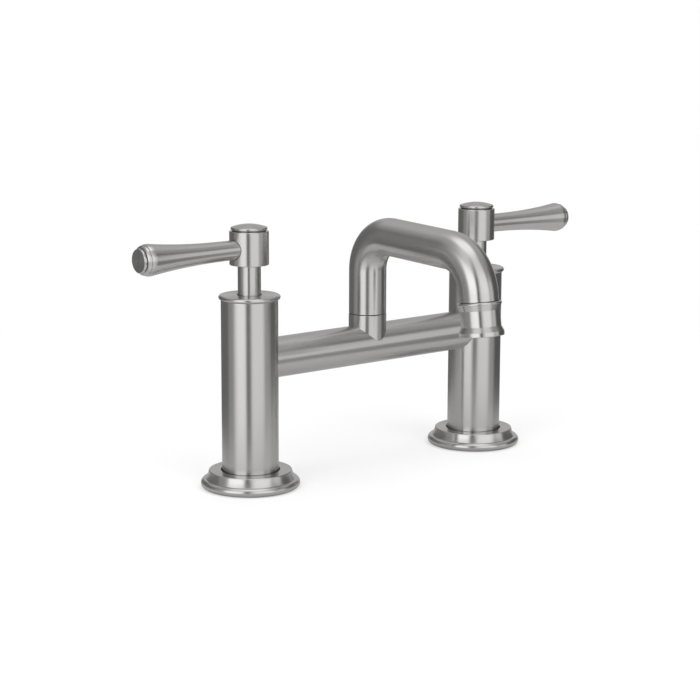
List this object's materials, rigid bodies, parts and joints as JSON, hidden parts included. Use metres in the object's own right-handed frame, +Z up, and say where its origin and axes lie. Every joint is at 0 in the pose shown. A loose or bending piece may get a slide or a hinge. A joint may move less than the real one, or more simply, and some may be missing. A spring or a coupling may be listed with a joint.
{
  "type": "bath filler",
  "caption": "Deck-mounted bridge bath filler with round columns, swivelling spout and horizontal lever handles in brushed nickel.",
  "frame": {"origin": "half-way between the two inlets, at the level of the deck that the flanges stand on", "axes": "+Z up, +X from the left column to the right column, the spout reaches towards -Y"},
  "size_m": [0.377, 0.1645, 0.1775],
  "materials": {
    "brushed_nickel": "fine brushed nickel plate",
    "brass": "machined",
    "stainless": "machined",
    "rubber": "moulded, matt",
    "ceramic": "lapped alumina ceramic",
    "dark_plastic": "low-friction ring",
    "pale_plastic": "moulded"
  },
  "bodies": {
    "stand": {"bridge_tube": "brushed_nickel", "spout_socket": "brushed_nickel", "glide_ring": "dark_plastic", "spout_stop_screw": "stainless", "left_column": "brushed_nickel", "left_flange": "brushed_nickel", "left_deck_gasket": "rubber", "left_column_plate": "brushed_nickel", "left_valve_body": "brass", "left_valve_washer": "rubber", "left_seat_seal": "rubber", "left_fixed_disc": "ceramic", "right_column": "brushed_nickel", "right_flange": "brushed_nickel", "right_deck_gasket": "rubber", "right_column_plate": "brushed_nickel", "right_valve_body": "brass", "right_valve_washer": "rubber", "right_seat_seal": "rubber", "right_fixed_disc": "ceramic"},
    "left_handle": {"left_turning_disc": "ceramic", "left_spindle": "brass", "left_spindle_clip": "stainless", "left_spindle_extension": "brass", "left_stem_sleeve": "brushed_nickel", "left_handle_hub": "brushed_nickel", "left_lever": "brushed_nickel", "left_lever_end_cap": "brushed_nickel", "left_hub_cap": "brushed_nickel", "left_handle_screw": "stainless"},
    "right_handle": {"right_turning_disc": "ceramic", "right_spindle": "brass", "right_spindle_clip": "stainless", "right_spindle_extension": "brass", "right_stem_sleeve": "brushed_nickel", "right_handle_hub": "brushed_nickel", "right_lever": "brushed_nickel", "right_lever_end_cap": "brushed_nickel", "right_hub_cap": "brushed_nickel", "right_handle_screw": "stainless"},
    "spout": {"spout_tube": "brushed_nickel", "spout_shank": "brass", "spout_o_rings": "rubber", "outlet_collar": "brushed_nickel", "outlet_washer": "rubber", "aerator_housing": "brushed_nickel", "flow_straightener": "pale_plastic"}
  },
  "joints": [
    {"name": "left_handle_turn", "type": "hinge", "parent": "stand", "child": "left_handle", "pos_m": [-0.1016, 0, 0.16135], "axis": [0, 0, 1], "range_deg": [0, 90]},
    {"name": "right_handle_turn", "type": "hinge", "parent": "stand", "child": "right_handle", "pos_m": [0.1016, 0, 0.16135], "axis": [0, 0, 1], "range_deg": [-90, 0]},
    {"name": "spout_swivel", "type": "hinge", "parent": "stand", "child": "spout", "pos_m": [0, 0, 0.1076], "axis": [0, 0, 1], "range_deg": [-35, 35]}
  ]
}
